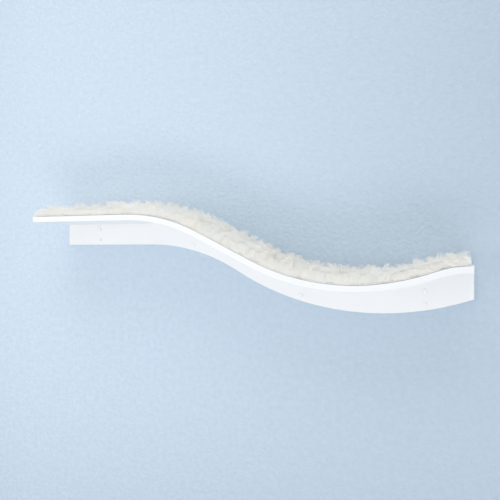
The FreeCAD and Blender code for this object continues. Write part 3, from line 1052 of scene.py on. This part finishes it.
@dataclass
class ScrewCap:
    """A domed cap that snaps over a wall screw's head."""

    number: int
    material: Material
    inside: float = 0.0056
    wall: float = 0.0010
    shoulder: float = 0.0013
    crown: float = 0.0005
    corner: float = 0.0004
    bevel_height: float = 0.0003
    bevel_width: float = 0.0002
    draft: float = 0.00005
    arc_steps: int = 5
    sides: int = 48

    def build(self) -> Piece:
        """Turns the cap's section about its axis.

        Returns:
            The cap.
        """
        node = f"screw_cap_{self.number}"
        low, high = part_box(node)
        centre = (low + high) / 2
        rim, top = high.y, low.y
        inside, outside = self.inside, (high.x - low.x) / 2
        ceiling, brow, bevel = top + self.wall, top + self.crown, rim - self.bevel_height
        section = [(0.0, ceiling), (inside - self.corner, ceiling), (inside, ceiling + self.corner)]
        section += [(inside, bevel), (inside + self.bevel_width, rim), (outside - self.bevel_width, rim)]
        section += [(outside, bevel), (outside - self.draft, brow + self.shoulder)]
        shares = [step / self.arc_steps for step in range(1, self.arc_steps + 1)]
        for share in shares:
            angle = share * math.pi / 2
            inward, down = self.shoulder * (1 - math.cos(angle)), self.shoulder * (1 - math.sin(angle))
            section.append((outside - self.draft - inward, brow + down))
        flat = section[-1][0]
        section += [(flat * (1 - share), top + self.crown * (1 - share) ** 2) for share in shares]
        size, depth = (np.array(column)[:, None] for column in zip(*section))
        angles = circle(self.sides)
        ring = np.broadcast_arrays(centre.x + size * np.cos(angles), depth, centre.z + size * np.sin(angles))
        points = np.stack(ring, -1).reshape(-1, 3)
        faces = grid_faces(len(section), self.sides, closed=True)
        piece = mesh_piece(f"domed_cap_{self.number}", points, faces, self.material)
        weld(piece)
        return declare(piece, f"cap_{self.number}", node)


@dataclass
class TouchTape:
    """Hook strips on the board and loop strips on the pad."""

    run: BoardRun
    finishes: Finishes
    width: float = 0.025
    end_margin: float = 0.070
    front: float = -0.178
    back: float = -0.022
    hook_lifts: Pair = (0.0003, 0.0015)
    loop_lifts: Pair = (0.0018, 0.0030)
    side_gap: float = 0.0008
    web: float = 0.0006
    web_rows: int = 40
    selvedge: float = 0.0018
    selvedge_rise: float = 0.00012
    pitch: float = 0.0022
    bare_start: Pair = (0.003, 0.0025)
    bare_end: float = 0.002
    stray: float = 0.0004
    nap_height: float = 0.0006
    nap_reach: float = 0.0009
    nap_radii: Point = (0.00016, 0.00014, 0.00012)
    seed: int = 700

    def build(self) -> list[Piece]:
        """Makes every strip.

        Returns:
            The strips.
        """
        pieces = []
        ends = self.run.length / 2 - self.end_margin
        for number, x in zip(TAPES, np.linspace(-ends, ends, len(TAPES))):
            pieces += [self.strip(nap, number, self.run.distance_at(x)) for nap in Nap]
        return pieces

    def strip(self, nap: Nap, number: int, centre: float) -> Piece:
        """One strip: a woven web with a raised edge, and its hooks or loops.

        Args:
            nap: Hooks or loops.
            number: The strip's number.
            centre: Its middle, in metres along the run.

        Returns:
            The strip.
        """
        hooks = nap is Nap.HOOKS
        low, high = self.hook_lifts if hooks else self.loop_lifts
        root = low + self.web if hooks else high - self.web
        half = self.width / math.cos(self.run.heading_at(centre)) / 2 - self.side_gap
        web, quads = self.web_slab(centre, half, (low, root) if hooks else (root, high), hooks)
        rows = np.arange(self.front + self.bare_start[0], self.back - self.bare_end, self.pitch)
        files = np.arange(-half + self.bare_start[1], half - self.bare_end, self.pitch)
        across, along = (grid.reshape(-1, 1) for grid in np.meshgrid(rows, files))
        random = np.random.default_rng(self.seed + 10 * number + hooks)
        along = centre + along + random.uniform(-self.stray, self.stray, along.shape)
        across = across + random.uniform(-self.stray, self.stray, across.shape)
        lean = np.where(random.uniform(size=along.shape) < 0.5, -1.0, 1.0)
        bend = np.array([0.0, 0.02, 0.35, 0.85]) * self.nap_reach
        rise = np.array([0.0, 0.7, 0.97, 0.62 if hooks else 0.2]) * self.nap_height * (1 if hooks else -1)
        paths = self.run.place(along + lean * bend, across, root + rise)
        spikes, triangles = tubes(paths, self.nap_radii, (0.02, 1.0, 0.03))
        faces = np.concatenate([quads[:, [0, 1, 2]], quads[:, [0, 2, 3]], triangles + len(web)])
        material = self.finishes.hook if hooks else self.finishes.loop
        name, node = f"{nap.value}_tape_{number}", f"{nap.value}_strip_{number}"
        piece = mesh_piece(name, np.concatenate([web, spikes]), faces, material, smooth=False)
        slot, body = (Slot.HOOK, Body.SHELF) if hooks else (Slot.LOOP, Body.PAD)
        return declare(piece, body.value, node)

    def web_slab(self, centre: float, half: float, face: Pair, upward: bool) -> tuple[Array, Array]:
        """The woven web of a strip, a little thicker along its selvedges.

        Args:
            centre: The strip's middle along the run.
            half: Half of its width along the run.
            face: Lifts of its two faces.
            upward: Whether its nap side is the upper face.

        Returns:
            Points and quads of a closed slab.
        """
        edge = np.array([-half, -half + self.selvedge, -half + self.selvedge * 1.3])
        offsets = np.concatenate([edge, [0.0], -edge[::-1]])
        thick = np.array([1.0, 1.0, 0.0, 0.0, 0.0, 1.0, 1.0]) * self.selvedge_rise
        along = np.concatenate([offsets, offsets[::-1]]) + centre
        below, above = (0 * thick, thick) if upward else (thick, 0 * thick)
        lift = np.concatenate([face[0] - below, face[1] + above])
        rows = np.linspace(self.front, self.back, self.web_rows)
        points = self.run.place(along, rows[:, None], lift).reshape(-1, 3)
        loop, column = len(along), np.arange(len(offsets) - 1)
        cap = np.stack([column, loop - 1 - column, loop - 2 - column, column + 1], -1)
        last = (self.web_rows - 1) * loop
        sides = grid_faces(self.web_rows, loop, closed=True)
        return points, np.concatenate([sides, cap, cap[:, ::-1] + last])


@dataclass(frozen=True)
class Filling:
    """Cloth simulation that swells a flat closed cover from inside, held down along its foot."""

    foot: float
    voxel: float = 0.006
    pressure: float = 4.0
    frames: int = 20
    most: float = 0.004

    def swell(self, piece: Piece) -> None:
        """Remeshes the cover, swells it and smooths it.

        Args:
            piece: The cover, lying flat with its foot at the foot's height.
        """
        remesh = piece.modifiers.new("even_mesh", "REMESH")
        remesh.mode, remesh.voxel_size = "VOXEL", self.voxel
        self.settle(piece)
        before = corner_points(piece.data)
        held = piece.vertex_groups.new(name="sewn_down")
        held.add(np.flatnonzero(before[:, 2] < self.foot + self.voxel / 3).tolist(), 1.0, "REPLACE")
        cloth = piece.modifiers.new("filling", "CLOTH")
        cloth.settings.use_pressure = True
        cloth.settings.uniform_pressure_force = self.pressure
        cloth.settings.vertex_group_mass = held.name
        cloth.settings.effector_weights.gravity = 0.0
        cloth.point_cache.frame_end = self.frames
        scene = bpy.context.scene
        for number in range(1, self.frames + 1):
            scene.frame_set(number)
        self.settle(piece)
        scene.frame_set(1)
        move = corner_points(piece.data) - before
        far = np.linalg.norm(move, axis=1, keepdims=True)
        after = before + move * np.minimum(1.0, self.most / np.maximum(far, 1e-9))
        after[:, 2] = np.maximum(after[:, 2], self.foot)
        piece.data.vertices.foreach_set("co", after.ravel())
        piece.modifiers.new("smooth_cover", "SUBSURF").levels = 1
        self.settle(piece)
        piece.vertex_groups.clear()
        piece.data.polygons.foreach_set("use_smooth", np.full(len(piece.data.polygons), True))

    @staticmethod
    def settle(piece: Piece) -> None:
        """Applies the modifiers of a piece to its mesh.

        Args:
            piece: The piece.
        """
        shaped = piece.evaluated_get(bpy.context.evaluated_depsgraph_get())
        mesh, old = bpy.data.meshes.new_from_object(shaped), piece.data
        piece.modifiers.clear()
        piece.data = mesh
        bpy.data.meshes.remove(old)
        mesh.name = piece.name


@dataclass
class FurPad:
    """The lift-off pad: a woven backing with a sewn hem, a soft base and long combed pile with tufts."""

    run: BoardRun
    finishes: Finishes
    left_gap: float = 0.003
    right_gap: float = 0.010
    front: float = -0.196
    back: float = -0.004
    backing_foot: float = 0.0033
    backing_top: float = 0.0049
    hem: float = 0.010
    hem_step: float = 0.0005
    stitch: float = 0.0036
    stitch_pitch: float = 0.0052
    stitch_radii: Point = (0.00022, 0.0003, 0.00028)
    base_foot: float = 0.0052
    base_side: float = 0.0155
    base_crown: float = 0.0095
    base_inset: float = 0.003
    slack: float = 0.80
    lump_size: float = 0.05
    lump_height: float = 0.0012
    lump_free: float = 0.004
    shoulder: float = 0.016
    end_shoulder: float = 0.004
    heights: tuple[Pair, ...] = (
        (0.0, 0.80), (0.05, 0.74), (0.14, 0.88), (0.40, 0.98), (0.60, 1.12), (1.08, 1.12), (1.17, 0.92),
        (1.27, 0.76), (1.355, 0.5),
    )
    tuft_spacing: float = 0.0105
    tuft_radius: float = 0.012
    tuft_strands: int = 22
    swirl_patch: float = 0.12
    growth_patch: float = 0.05
    tone_patch: float = 0.16
    strand_length: float = 0.027
    strand_radius: float = 0.0004
    strand_arch: float = 0.0014
    strand_root: float = 0.0008
    standing: float = 0.15
    fringe: float = 0.022
    rim_spacing: float = 0.006
    end_zone: float = 0.035
    end_turn: float = 0.9
    droop: float = 0.8
    past_ends: Pair = (0.007, 0.003)
    past_front: float = 0.010
    past_back: float = 0.0025
    lowest: float = 0.0013
    highest: float = 0.051
    pieces: int = 6
    seed: int = 41

    def __post_init__(self) -> None:
        """Works out the pad's ends along the run, its width, and its base's skin laid out flat."""
        self.start, self.end = self.left_gap, self.run.span() - self.right_gap
        self.width = self.back - self.front
        spare = math.pi - 2
        length = self.end - self.start - 2 * self.base_inset + self.end_shoulder * spare
        self.extent = (length, self.width - 2 * self.base_inset + self.shoulder * spare)

    def build(self) -> list[Piece]:
        """Makes the backing, its stitches, the base and the pile.

        Returns:
            The pieces.
        """
        backing, stitches = self.make_backing(), self.make_stitches()
        base, tufts = self.make_base(), self.make_tufts()
        declare(backing, Body.PAD.value, "pad_backing")
        declare(stitches, Body.PAD.value)
        declare(base, Body.PAD.value, "fur_pile")
        return [backing, stitches, base] + [declare(piece, Body.PAD.value) for piece in tufts]

    def make_backing(self) -> Piece:
        """Woven sheet that follows the board, turned under along its edges.

        Returns:
            The backing.
        """
        hem, fold = self.hem, self.hem * 0.9
        along = np.linspace(self.start, self.end, 261)
        edge = np.array([0.0, fold, hem])
        inner = np.linspace(2 * hem, self.width - 2 * hem, 20)
        offsets = np.concatenate([edge, inner, self.width - edge[::-1]])
        distance, across = np.meshgrid(along, offsets, indexing="ij")
        ends = np.minimum(distance - self.start, self.end - distance)
        margin = np.minimum(np.minimum(across, across[:, ::-1]), ends)
        step = self.hem_step * np.clip((margin - fold) / (hem - fold), 0, 1)
        lifts = (self.backing_foot + step, self.backing_top)
        points = np.concatenate([self.run.place(distance, self.front + across, lift) for lift in lifts])
        numbers = np.arange(distance.size).reshape(distance.shape)
        rim = np.concatenate([numbers[:, 0], numbers[-1, 1:], numbers[-2::-1, -1], numbers[0, -2:0:-1]])
        following = np.roll(rim, -1)
        sides = np.stack([rim, following, following + distance.size, rim + distance.size], -1)
        quads = grid_faces(*distance.shape)
        faces = np.concatenate([quads[:, ::-1], quads + distance.size, sides])
        piece = mesh_piece("backing_cloth", points.reshape(-1, 3), faces, self.finishes.backing, smooth=False)
        weld(piece)
        return piece

    def make_stitches(self) -> Piece:
        """Stitches of the hem, on the backing's underside.

        Returns:
            The stitches as one piece.
        """
        inset = self.hem * 0.65
        start, end, front, back = self.start + inset, self.end - inset, self.front + inset, self.back - inset
        steps = np.array([-0.5, -0.22, 0.22, 0.5]) * self.stitch
        sag = np.array([0.0002, -0.00022, -0.00022, 0.0002])
        along = np.arange(start, end, self.stitch_pitch)[:, None] + steps
        across = np.arange(front, back, self.stitch_pitch)[:, None] + steps
        seams = ((along, front), (along, back), (start, across), (end, across))
        paths = np.concatenate([self.run.place(*seam, self.backing_foot + sag) for seam in seams])
        points, faces = tubes(paths, self.stitch_radii, (0.05, 0.02, 1.0))
        return mesh_piece("hem_stitches", points, faces, self.finishes.thread)

    def skin(self, u: Array, v: Array) -> tuple[Array, Array, Array, Array]:
        """The base's upper skin, laid out flat.

        Args:
            u: Metres along the skin, up one end, along the top and down the other.
            v: Metres across the skin, up the front, over the top and down the back.

        Returns:
            Distance along the run, Y, lift, and normal along, across and up.
        """
        inset = self.base_inset
        s, rise_s, out_s = self.rounded(u, self.start + inset, self.end - inset, self.end_shoulder)
        y, rise_y, out_y = self.rounded(v, self.front + inset, self.back - inset, self.shoulder)
        middle = np.clip(1 - (2 * (y - (self.front + self.back) / 2) / self.width) ** 2, 0, 1)
        full = (self.base_side + self.base_crown * middle) * np.interp(s, *zip(*self.heights))
        normal = unit(np.stack([out_s, out_y, np.sqrt((1 - out_s**2) * (1 - out_y**2)) + 0.02], -1))
        return s, y, self.base_foot + rise_s * rise_y * full, normal

    @staticmethod
    def rounded(path: Array, low: float, high: float, shoulder: float) -> tuple[Array, Array, Array]:
        """A path that rises round one shoulder, runs level and falls round the other.

        Args:
            path: Metres along the path from its start.
            low: Where it starts.
            high: Where it ends.
            shoulder: Radius of both shoulders.

        Returns:
            Place between low and high, rise from 0 to 1, and how far the surface faces outward.
        """
        quarter = shoulder * math.pi / 2
        level = high - low - 2 * shoulder
        first = np.clip(path / quarter, 0, 1) * math.pi / 2
        second = np.clip((path - quarter - level) / quarter, 0, 1) * math.pi / 2
        flat = np.clip(path - quarter, 0, level)
        place = low + shoulder * (1 - np.cos(first)) + flat + shoulder * np.sin(second)
        return place, np.sin(first) * np.cos(second), np.sin(second) - np.cos(first)

    def make_base(self) -> Piece:
        """Soft crowned base under the pile, swollen while it lies flat and then bent along the board.

        Returns:
            The base.
        """
        length, width = self.extent
        u, v = np.meshgrid(np.linspace(0, length, 240), np.linspace(0, width, 40), indexing="ij")
        s, y, lift, _ = self.skin(u.ravel(), v.ravel())
        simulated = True
        slack = self.slack if simulated else 1.0
        upper = np.column_stack([s, y, self.base_foot + (lift - self.base_foot) * slack])
        lower = np.column_stack([s, y, np.full_like(lift, self.base_foot)])
        quads = grid_faces(*u.shape)
        faces = np.concatenate([quads, quads[:, ::-1] + len(upper)])
        piece = mesh_piece("fur_base", np.concatenate([upper, lower]), faces, self.finishes.underfur)
        weld(piece)
        if simulated:
            Filling(self.base_foot).swell(piece)
        flat = corner_points(piece.data)
        lumps = soft_noise(flat[:, :2], self.lump_size, np.random.default_rng(self.seed))
        risen = flat[:, 2] + self.lump_height * lumps * (flat[:, 2] > self.base_foot + self.lump_free)
        piece.data.vertices.foreach_set("co", self.run.place(flat[:, 0], flat[:, 1], risen).ravel())
        piece.data.update()
        return piece

    def make_tufts(self) -> list[Piece]:
        """Long pile in tufts, as several pieces along the pad.

        Returns:
            The pieces, from left to right.
        """
        random = np.random.default_rng(self.seed + 1)
        length, width = self.extent
        rows, files = int(length / self.tuft_spacing), int(width / self.tuft_spacing)
        grid = np.meshgrid((np.arange(rows) + 0.5) / rows * length, (np.arange(files) + 0.5) / files * width)
        rim = np.arange(self.rim_spacing / 2, length, self.rim_spacing)
        rim = np.column_stack([rim, np.full_like(rim, self.rim_spacing)])
        centres = np.concatenate([np.stack(grid, -1).reshape(-1, 2), rim])
        centres += random.uniform(-0.45, 0.45, centres.shape) * self.tuft_spacing
        centres = centres[np.argsort(centres[:, 0])]
        shares = enumerate(np.array_split(centres, self.pieces), start=1)
        return [self.tuft_piece(number, share, random) for number, share in shares]

    def tuft_piece(self, number: int, centres: Array, random: Random) -> Piece:
        """One piece of the pile.

        Args:
            number: The piece's number.
            centres: Places of its tufts on the flat skin.
            random: Source of the pile's unevenness.

        Returns:
            The piece, with its colour map.
        """
        count, each = len(centres), self.tuft_strands
        waves = np.random.default_rng(self.seed + 2)
        swirl = 0.6 * soft_noise(centres, self.swirl_patch, waves) + random.normal(0, 0.16, count)
        growth = 1 + 0.16 * soft_noise(centres, self.growth_patch, waves) + random.normal(0, 0.12, count)
        growth = np.clip(growth, 0.6, 1.4)
        tone = 0.5 + 0.2 * soft_noise(centres, self.tone_patch, waves) + random.normal(0, 0.1, count)
        upright = (random.uniform(0, 1, count) < self.standing) & (centres[:, 1] > self.fringe)
        stand = np.where(upright, random.uniform(0.45, 0.85, count), random.uniform(0.06, 0.22, count))
        tuft_tip = self.tips(centres, swirl, stand, growth)
        radius = self.tuft_radius * np.sqrt(random.uniform(0, 1, (count, each)))
        angle = random.uniform(0, 2 * np.pi, (count, each))
        roots = centres[:, None] + np.stack([radius * np.cos(angle), radius * np.sin(angle)], -1)
        roots = np.clip(roots.reshape(-1, 2), 0, self.extent)
        strands = count * each
        own_swirl = np.repeat(swirl, each) + random.normal(0, 0.22, strands)
        own_stand = np.clip(np.repeat(stand, each) + random.normal(0, 0.06, strands), 0.05, 0.95)
        own_growth = np.repeat(growth, each) * random.uniform(0.7, 1.08, strands)
        own_tip = self.tips(roots, own_swirl, own_stand, own_growth)
        gather = np.where(np.repeat(upright, each), 1.25, 1.0)[:, None]
        pull = random.uniform(0.2, 0.65, (strands, 1)) * gather
        tip = own_tip + (np.repeat(tuft_tip, each, 0) - own_tip) * pull
        steps = np.array([0.0, 0.34, 0.68, 1.0])
        paths = np.stack([self.over_skin(roots, tip, share) for share in steps], axis=1)
        fine = random.uniform(0.7, 1.15, (strands, 1))
        radii = self.strand_radius * np.array([1.0, 0.95, 0.68]) * fine
        points, faces = tubes(paths, radii, unit(random.normal(0, 1, (strands, 3))))
        piece = mesh_piece(f"fur_tufts_{number}", points, faces, self.finishes.pile, smooth=False)
        own_tone = np.clip(np.repeat(tone, each) + random.normal(0, 0.09, strands), 0.03, 0.97)
        self.map_strands(piece, own_tone, steps)
        return piece

    def tips(self, roots: Array, swirl: Array, stand: Array, growth: Array) -> Array:
        """Where strands end, on and over the flat skin.

        Args:
            roots: Places on the flat skin.
            swirl: Turn of each strand from the way the nap is combed, which is to the front.
            stand: Share of its length that each strand rises.
            growth: Length of each strand as a share of the usual one.

        Returns:
            Place along and across the skin, and height over it.
        """
        reach = self.strand_length * growth
        level = reach * np.sqrt(1 - stand**2)
        along, zone = roots[:, 0], self.end_zone
        ends = np.clip(1 - (self.extent[0] - along) / zone, 0, 1) - np.clip(1 - along / zone, 0, 1)
        way = unit(np.stack([np.sin(swirl) + self.end_turn * ends, -np.cos(swirl)], -1))
        return np.column_stack([roots + way * level[:, None], reach * stand])

    def over_skin(self, roots: Array, tip: Array, share: float) -> Array:
        """Points part of the way along strands, bent over the base's shoulders.

        Args:
            roots: Places on the flat skin.
            tip: Place and height of each strand's end.
            share: How far along the strands the points lie.

        Returns:
            The points in metres, kept off the board and the wall.
        """
        flat = roots + (tip[:, :2] - roots) * share
        held = np.clip(flat, 0, self.extent)
        hang = np.linalg.norm(flat - held, axis=1)
        arch = self.strand_arch * math.sin(math.pi * share) - self.strand_root * (1 - share)
        height = tip[:, 2] * share**0.85 + arch
        s, y, lift, normal = self.skin(held[:, 0], held[:, 1])
        left, right = self.past_ends
        along = np.clip(s + normal[:, 0] * height, self.start - left, self.end + right)
        across = np.clip(y + normal[:, 1] * height, self.front - self.past_front, self.back + self.past_back)
        upward = np.clip(lift + normal[:, 2] * height - self.droop * hang, self.lowest, self.highest)
        return self.run.place(along, across, upward)

    @staticmethod
    def map_strands(piece: Piece, tone: Array, steps: Array) -> None:
        """Lays each strand on the colour map: its tone across and its length up.

        Args:
            piece: A piece of pile.
            tone: Tone of each strand from 0 to 1.
            steps: Shares of a strand's length at its rings and tip.
        """
        across = np.append(np.tile([-0.012, 0.0, 0.012], len(steps) - 1), 0.0)
        up = np.append(np.repeat(steps[:-1], 3), 1.0)
        u = (tone[:, None] * 0.94 + 0.03 + across).ravel()
        v = np.broadcast_to(up * 0.96 + 0.02, (len(tone), len(up))).ravel()
        mesh = piece.data
        layer = mesh.uv_layers.new(name=BAKE_MAP)
        corners = np.empty(len(mesh.loops), dtype=np.int32)
        mesh.loops.foreach_get("vertex_index", corners)
        layer.data.foreach_set("uv", np.stack([u[corners], v[corners]], -1).astype(np.float32).ravel())


@dataclass(frozen=True)
class Lamp:
    """Soft lamp that faces the shelf, with its size in metres and its power in watts."""

    name: str
    place: Point
    size: Pair
    power: float
    colour: Point = (1.0, 0.99, 0.975)
    spread: float = 100.0

    def build(self) -> None:
        """Hangs the lamp in its place and turns it to the shelf."""
        lamp = bpy.data.lights.new(self.name, "AREA")
        lamp.shape = "RECTANGLE"
        lamp.size, lamp.size_y = self.size
        lamp.energy = self.power
        lamp.color = self.colour
        lamp.spread = math.radians(self.spread)
        holder = show(self.name, lamp)
        holder.location = self.place
        holder.rotation_euler = (-holder.location).to_track_quat("-Z", "Y").to_euler()


@dataclass
class Studio:
    """Wall, floor, light and camera."""

    finishes: Finishes
    wall_y: float = 0.0008
    wall_top: float = 5.0
    floor_z: float = -1.25
    floor_ends: Pair = (-7.0, 6.0)
    half_width: float = 6.0
    lamps: tuple[Lamp, ...] = (
        Lamp("window_light", (-2.6, -3.0, -0.3), (1.8, 1.6), 5.4),
        Lamp("reflector", (0.3, -1.05, -1.2), (3.0, 0.9), 7.6),
        Lamp("ceiling_light", (0.1, -1.0, 1.9), (2.6, 1.2), 6.2),
    )
    air: Colour = (0.95, 0.975, 1.0, 1.0)
    air_strength: float = 0.77
    diffuse_bounces: int = 12
    eye: Point = (0.6526, -1.6741, 0.0410)
    yaw: float = 21.0
    focal_pixels: float = 575.9
    sensor: float = 36.0

    def build(self) -> None:
        """Sets the stage, the light and the camera."""
        self.make_stage()
        self.make_light()
        self.make_camera()
        bpy.context.scene.view_settings.view_transform = "Standard"
        bpy.context.scene.cycles.diffuse_bounces = self.diffuse_bounces

    def make_stage(self) -> None:
        """Pale blue wall that the shelf hangs on, clear from behind, and a plain pale floor well below."""
        wide, y, z, top = self.half_width, self.wall_y, self.floor_z, self.wall_top
        front, back = self.floor_ends
        # The wall darkens from left to right: painted light falloff from the window light on the left.
        wall = BackdropFinish("wall_paint", (0.685, 0.80, 0.915, 1.0), (0.53, 0.63, 0.73, 1.0), True)
        floor = BackdropFinish("floor_paint", (0.80, 0.81, 0.82, 1.0), (0.78, 0.79, 0.80, 1.0), False)
        sheets = {
            "stage_wall": (wall, [(-wide, y, z), (wide, y, z), (wide, y, top), (-wide, y, top)]),
            "stage_floor": (floor, [(-wide, front, z), (wide, front, z), (wide, back, z), (-wide, back, z)]),
        }
        for name, (finish, corners) in sheets.items():
            mesh_piece(name, corners, [(0, 1, 2, 3)], finish.make(self.finishes.effects))

    def make_light(self) -> None:
        """Window light from the left front, a reflector below, a ceiling light, and even light all round."""
        for lamp in self.lamps:
            lamp.build()
        world = bpy.data.worlds.new("studio_air")
        world.use_nodes = True
        sky = world.node_tree.nodes["Background"]
        sky.inputs["Color"].default_value = self.air
        sky.inputs["Strength"].default_value = self.air_strength
        bpy.context.scene.world = world

    def make_camera(self) -> None:
        """Level camera at the right front, turned towards the shelf's left."""
        camera = bpy.data.cameras.new("camera")
        camera.sensor_width = self.sensor
        camera.lens = self.focal_pixels / FRAME_PIXELS * self.sensor
        view = show("camera", camera)
        view.location = self.eye
        view.rotation_euler = (math.pi / 2, 0.0, math.radians(self.yaw))
        bpy.context.scene.camera = view


def main() -> None:
    """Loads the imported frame, builds every piece in order and sets the stage."""
    logging.basicConfig(level=logging.INFO, format="%(name)s: %(message)s")
    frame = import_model()
    nodes = frame["nodes"]
    finishes = Finishes()
    run = BoardRun()
    made = ShelfFrame(nodes, finishes).dress()
    made.append(wall_screws(nodes, finishes).build())
    made.append(board_screws(run, nodes, finishes).build())
    made += [ScrewCap(number, finishes.cap).build() for number in CAPS]
    made += TouchTape(run, finishes).build()
    made += FurPad(run, finishes).build()
    for piece in made:
        LOG.info("%s: %d faces", piece.name, len(piece.data.polygons))
    Studio(finishes).build()


if __name__ == "__main__":
    main()
